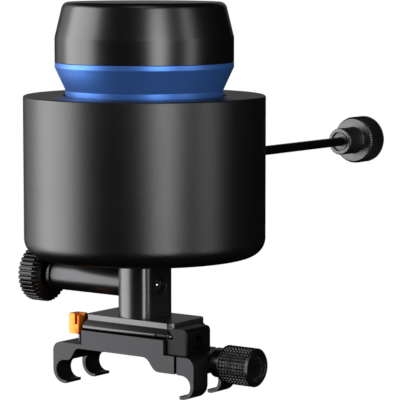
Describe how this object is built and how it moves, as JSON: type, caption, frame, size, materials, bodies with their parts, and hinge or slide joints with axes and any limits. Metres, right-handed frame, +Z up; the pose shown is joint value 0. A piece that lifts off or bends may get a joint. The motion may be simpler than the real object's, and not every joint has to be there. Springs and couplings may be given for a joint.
{
  "type": "scanner head",
  "caption": "Round scanner head with a spinning capped turret, knurled side shaft and clamping knob, on a post, dovetail plate and two-rail quick-release clamp.",
  "frame": {"origin": "on the clamp's flat underside, below the post and on the turret's axis", "axes": "+Z up along the turret axis, +Y along the rails towards the side shaft's knob, +X across the rails towards the thumbscrew"},
  "size_m": [0.1142, 0.2137, 0.1552],
  "materials": {
    "drum_black": "satin black powder-fine anodising",
    "cap_black": "satin black infrared-passing moulding",
    "collar_blue": "blue anodised, turned",
    "clamp_black": "black anodised, milled",
    "knob_black": "black anodised, knurled",
    "lever_orange": "orange anodised",
    "steel": "turned",
    "dark_steel": "black oxide",
    "bronze": "sintered",
    "copper": "wound and lacquered",
    "board": "solder mask",
    "battery": "shrink wrap",
    "lens_glass": "coated glass"
  },
  "bodies": {
    "clamp": {"clamp_body": "clamp_black", "dovetail_jaw": "clamp_black", "dovetail_jaw_screw": "dark_steel", "release_lever_pin": "steel", "release_lever_spring": "steel", "guide_pin_front": "steel", "guide_pin_rear": "steel", "lever_stop_pin": "dark_steel"},
    "jaw": {"moving_jaw": "clamp_black"},
    "thumbscrew": {"thumbscrew_knob": "knob_black", "thumbscrew_spindle": "steel", "thumbscrew_clip": "dark_steel"},
    "lever": {"release_lever": "lever_orange"},
    "head": {"dovetail_plate": "clamp_black", "plate_screw_front": "dark_steel", "plate_screw_rear": "dark_steel", "post": "clamp_black", "post_screw_front": "dark_steel", "post_screw_rear": "dark_steel", "clamping_tube": "clamp_black", "drum_housing": "drum_black", "bottom_cover": "drum_black", "cover_screw_1": "dark_steel", "cover_screw_2": "dark_steel", "cover_screw_3": "dark_steel", "cover_screw_4": "dark_steel", "shaft_bush": "bronze", "knob_encoder": "board", "bearing_carrier": "clamp_black", "upper_bearing": "steel", "lower_bearing": "steel", "motor_stator": "copper", "standoff_1": "steel", "standoff_2": "steel", "standoff_3": "steel", "standoff_4": "steel", "main_board": "board", "encoder_reader": "board", "battery_left": "battery", "battery_right": "battery"},
    "sleeve": {"thrust_sleeve": "knob_black"},
    "clamping_knob": {"ribbed_knob": "knob_black", "clamping_spindle": "steel"},
    "side_knob": {"side_shaft": "dark_steel", "disc_knob": "knob_black", "disc_knob_bush": "dark_steel", "disc_knob_screw": "dark_steel"},
    "turret": {"turret_collar": "collar_blue", "turret_cap": "cap_black", "turret_shaft": "steel", "magnet_ring": "dark_steel", "rotor_bell": "steel", "encoder_disc": "steel", "optics_frame": "clamp_black", "laser_barrel": "knob_black", "laser_lens": "lens_glass", "receiver_barrel": "knob_black", "receiver_lens": "lens_glass", "turret_board": "board", "counterweight": "dark_steel"}
  },
  "joints": [
    {"name": "plate_slide", "type": "slide", "parent": "clamp", "child": "head", "axis": [0, 1, 0], "range_m": [0, 0.016]},
    {"name": "turret_spin", "type": "hinge", "parent": "head", "child": "turret", "pos_m": [0, 0, 0.1], "axis": [0, 0, 1], "continuous": true},
    {"name": "side_knob_turn", "type": "hinge", "parent": "head", "child": "side_knob", "pos_m": [0, 0.1, 0.0749], "axis": [0, 1, 0], "continuous": true},
    {"name": "clamping_travel", "type": "slide", "parent": "head", "child": "sleeve", "axis": [1, 0, 0], "range_m": [-0.00401, 0]},
    {"name": "clamping_turn", "type": "hinge", "parent": "sleeve", "child": "clamping_knob", "pos_m": [-0.05, 0, 0.0269], "axis": [1, 0, 0], "range_deg": [-1440, 0]},
    {"name": "jaw_travel", "type": "slide", "parent": "clamp", "child": "jaw", "axis": [1, 0, 0], "range_m": [-0.00101, 0.00351]},
    {"name": "thumbscrew_turn", "type": "hinge", "parent": "jaw", "child": "thumbscrew", "pos_m": [0.045, -0.0013, -0.00175], "axis": [1, 0, 0], "range_deg": [-450, 1575]},
    {"name": "lever_swing", "type": "hinge", "parent": "clamp", "child": "lever", "pos_m": [-0.0263, 0.008, 0.00625], "axis": [0, 0, -1], "range_deg": [0, 15], "stiffness_Nm_per_rad": 0.05, "springref_deg": -11.46}
  ],
  "couplings": [
    {"joint": "clamping_travel", "follows": "clamping_turn", "m_per_rad": 0.00015915},
    {"joint": "jaw_travel", "follows": "thumbscrew_turn", "m_per_rad": 0.00012732}
  ]
}
